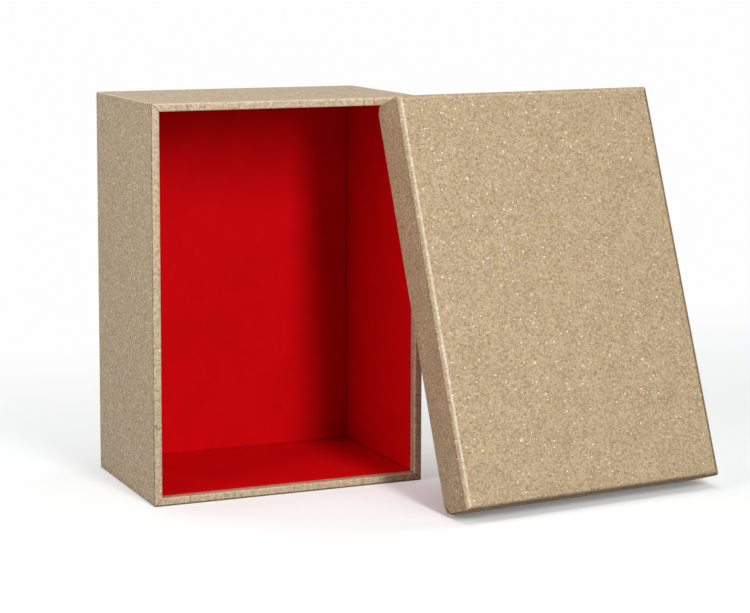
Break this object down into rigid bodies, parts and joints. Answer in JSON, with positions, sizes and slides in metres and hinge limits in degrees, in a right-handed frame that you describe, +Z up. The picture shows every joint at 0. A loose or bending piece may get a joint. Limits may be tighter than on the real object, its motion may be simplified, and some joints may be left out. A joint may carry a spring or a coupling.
{
  "type": "gift box",
  "caption": "Rigid rectangular gift box in glitter paper with a red lining: a deep tray standing on end and a shallow lid leaning against it.",
  "frame": {"origin": "middle of the tray's foot end, the face that it stands on", "axes": "+Z up along the tray's length, +Y to the tray's closed back, +X to the right of someone who looks into the tray"},
  "size_m": [0.307, 0.2034, 0.2233],
  "materials": {
    "glitter_paper": "beige-gold paper with a dense fine glitter grain, satin, with scattered bright sparkles",
    "red_lining": "smooth matte red paper",
    "greyboard": "matte grey-brown solid board",
    "paper_tape": "matte pale gummed paper tape"
  },
  "bodies": {
    "tray": {"tray_board_back": "greyboard", "tray_board_left": "greyboard", "tray_board_right": "greyboard", "tray_board_top": "greyboard", "tray_board_foot": "greyboard", "tray_wrap_back": "glitter_paper", "tray_wrap_left": "glitter_paper", "tray_wrap_right": "glitter_paper", "tray_wrap_top": "glitter_paper", "tray_wrap_foot": "glitter_paper", "tray_lining_back": "red_lining", "tray_lining_left": "red_lining", "tray_lining_right": "red_lining", "tray_lining_top": "red_lining", "tray_lining_foot": "red_lining", "tray_stay_foot_left": "paper_tape", "tray_stay_foot_right": "paper_tape", "tray_stay_top_left": "paper_tape", "tray_stay_top_right": "paper_tape"},
    "lid": {"lid_board_face": "greyboard", "lid_board_left": "greyboard", "lid_board_right": "greyboard", "lid_board_top": "greyboard", "lid_board_foot": "greyboard", "lid_wrap_face": "glitter_paper", "lid_wrap_left": "glitter_paper", "lid_wrap_right": "glitter_paper", "lid_wrap_top": "glitter_paper", "lid_wrap_foot": "glitter_paper", "lid_lining_face": "red_lining", "lid_lining_left": "red_lining", "lid_lining_right": "red_lining", "lid_lining_top": "red_lining", "lid_lining_foot": "red_lining", "lid_stay_foot_left": "paper_tape", "lid_stay_foot_right": "paper_tape", "lid_stay_top_left": "paper_tape", "lid_stay_top_right": "paper_tape"}
  },
  "joints": [
    {"name": "lid_lift", "type": "slide", "parent": "tray", "child": "lid", "axis": [0.0986, -0.9381, 0.3322], "range_m": [0, 0.15]}
  ]
}
